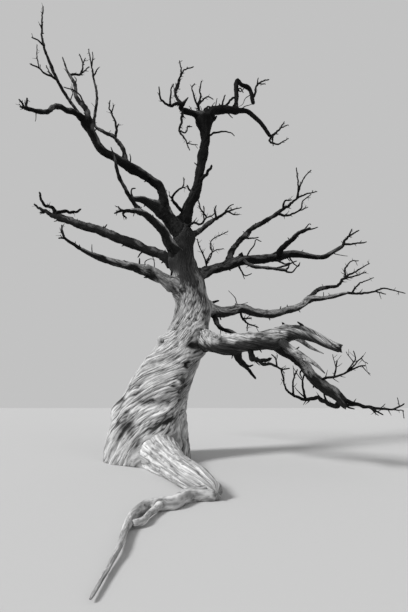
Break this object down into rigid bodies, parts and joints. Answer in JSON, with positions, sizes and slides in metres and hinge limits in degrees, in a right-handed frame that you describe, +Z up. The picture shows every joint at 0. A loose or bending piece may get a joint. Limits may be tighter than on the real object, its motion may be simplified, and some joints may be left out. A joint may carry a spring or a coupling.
{
  "type": "dead tree",
  "caption": "Old dead tree on level ground: twisted bare trunk with flared foot, surface roots, spreading boughs and masses of bare twigs.",
  "frame": {"origin": "middle of the flat cut under the trunk, at ground level", "axes": "+Z up along the tree, +X to the right and +Y to the back as the picture shows it"},
  "size_m": [7.5403, 5.6784, 8.0015],
  "materials": {
    "pale_wood": "bare wood weathered to pale silver, cracked along a twisted grain",
    "weathered_wood": "bare grey wood, rough and matt",
    "dark_bark": "dark furrowed bark, matt",
    "twig_bark": "dark dry twigs, matt"
  },
  "bodies": {
    "root": {"trunk": "pale_wood", "leader": "dark_bark", "leader_left_arm": "dark_bark", "leader_right_arm": "dark_bark", "leader_hoop": "dark_bark", "crook_bough": "weathered_wood", "left_high_bough": "dark_bark", "left_high_upright": "dark_bark", "left_high_spire": "dark_bark", "left_level_limb": "dark_bark", "left_back_limb": "dark_bark", "left_inner_bough": "weathered_wood", "left_cross_shoot": "dark_bark", "left_long_bough": "dark_bark", "left_low_bough": "weathered_wood", "right_inner_limb": "dark_bark", "right_high_bough": "dark_bark", "right_rising_bough": "dark_bark", "right_bent_snag": "dark_bark", "right_under_limb": "dark_bark", "right_long_bough": "weathered_wood", "right_fan_limb": "dark_bark", "right_hanging_limb": "dark_bark", "great_bough": "pale_wood", "great_bough_splinter": "pale_wood", "great_bough_spike": "pale_wood", "drooping_bough": "weathered_wood", "hanging_snag": "weathered_wood", "front_root": "pale_wood", "creeping_root": "pale_wood", "root_spur": "pale_wood", "leader_left_twigs": "twig_bark", "leader_drooping_twigs": "twig_bark", "leader_crown_twigs": "twig_bark", "leader_hoop_twigs": "twig_bark", "leader_drop_twigs": "twig_bark", "leader_side_twigs": "twig_bark", "left_upright_twigs": "twig_bark", "left_spire_twigs": "twig_bark", "left_spire_side_twigs": "twig_bark", "left_level_twigs": "twig_bark", "left_back_twigs": "twig_bark", "left_back_second_twigs": "twig_bark", "left_inner_twigs": "twig_bark", "left_long_twigs": "twig_bark", "left_low_twigs": "twig_bark", "right_inner_spray": "twig_bark", "right_crooked_twigs": "twig_bark", "right_curl_twigs": "twig_bark", "right_rising_twigs": "twig_bark", "right_rising_side_twigs": "twig_bark", "right_fore_twigs": "twig_bark", "right_long_fore_twigs": "twig_bark", "right_fan_twigs": "twig_bark", "right_long_hanging_twigs": "twig_bark", "drooping_fore_twigs": "twig_bark", "drooping_back_twigs": "twig_bark", "drooping_top_twigs": "twig_bark", "hanging_fork": "twig_bark"}
  },
  "joints": []
}
